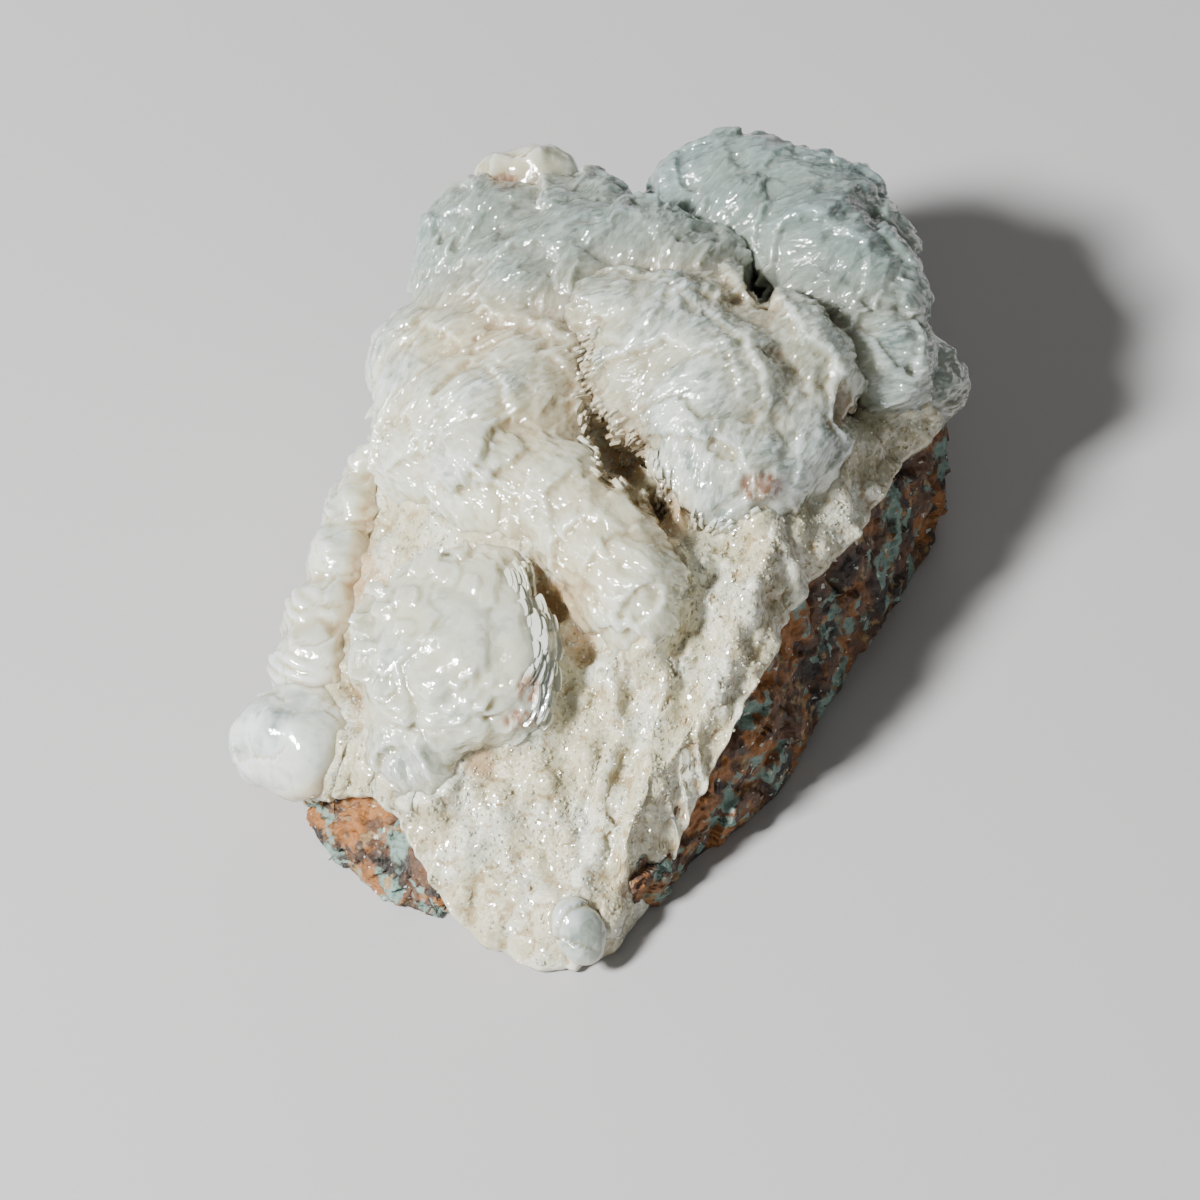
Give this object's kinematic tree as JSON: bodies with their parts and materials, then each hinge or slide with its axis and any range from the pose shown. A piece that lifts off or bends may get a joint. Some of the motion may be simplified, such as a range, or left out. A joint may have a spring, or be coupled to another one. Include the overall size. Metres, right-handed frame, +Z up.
{
  "type": "stilbite specimen",
  "caption": "Cabinet mineral specimen: white platy stilbite sheaves on a cream drusy crust, grown over a flat-based piece of brown basalt.",
  "frame": {"origin": "middle of the basalt's flat underside", "axes": "+Z up from the underside, -Y towards the toe of the crust, +X to the right when the toe points at the viewer"},
  "size_m": [0.109, 0.1348, 0.0537],
  "materials": {
    "basalt": "rough broken stone, brown with rust and pale blue-green patches",
    "druse": "fine sugary crystals, cream with tan hollows",
    "stilbite": "pearly, milky and translucent"
  },
  "bodies": {
    "root": {"matrix_rock": "basalt", "druse_crust": "druse", "main_sheaves": "stilbite", "lower_sheaf": "stilbite", "left_row_sheaves": "stilbite", "right_sheaves": "stilbite", "toe_sheaf": "stilbite"}
  },
  "joints": []
}
